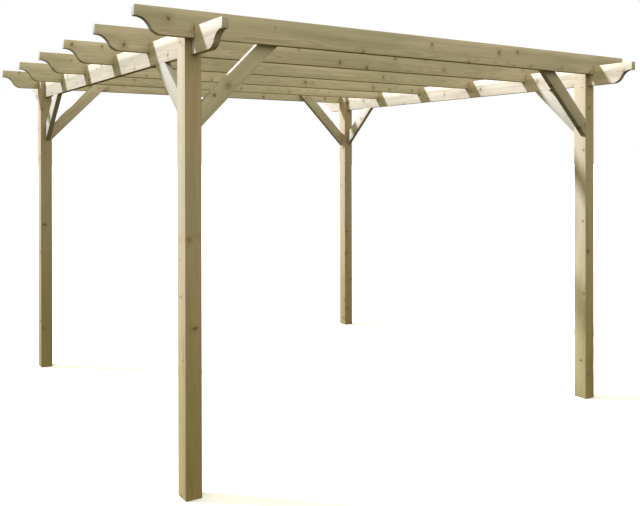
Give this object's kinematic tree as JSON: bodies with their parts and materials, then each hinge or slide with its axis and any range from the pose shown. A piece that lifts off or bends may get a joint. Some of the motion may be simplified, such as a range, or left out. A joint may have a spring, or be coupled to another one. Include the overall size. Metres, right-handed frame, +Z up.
{
  "type": "wooden garden pergola",
  "caption": "Rectangular open garden pergola: slotted square posts, side beams, scroll-ended rafters halved over them, and diagonal knee braces.",
  "frame": {"origin": "middle of the plan at ground level, under the crossing of the two centre lines", "axes": "+X to the right along the rafters, +Y to the back along the beams, +Z up"},
  "size_m": [3.905, 3.628, 2.52],
  "materials": {
    "post_timber": "planed, green pressure-treated softwood",
    "beam_timber": "planed, green pressure-treated softwood",
    "rafter_timber": "planed, green pressure-treated softwood",
    "brace_timber": "planed, green pressure-treated softwood"
  },
  "bodies": {
    "root": {"post_front_left": "post_timber", "post_front_right": "post_timber", "post_back_left": "post_timber", "post_back_right": "post_timber", "beam_left": "beam_timber", "beam_right": "beam_timber", "rafter_1": "rafter_timber", "rafter_2": "rafter_timber", "rafter_3": "rafter_timber", "rafter_4": "rafter_timber", "rafter_5": "rafter_timber", "rafter_6": "rafter_timber", "cross_brace_front_left": "brace_timber", "cross_brace_front_right": "brace_timber", "cross_brace_back_left": "brace_timber", "cross_brace_back_right": "brace_timber", "side_brace_front_left": "brace_timber", "side_brace_front_right": "brace_timber", "side_brace_back_left": "brace_timber", "side_brace_back_right": "brace_timber"}
  },
  "joints": []
}
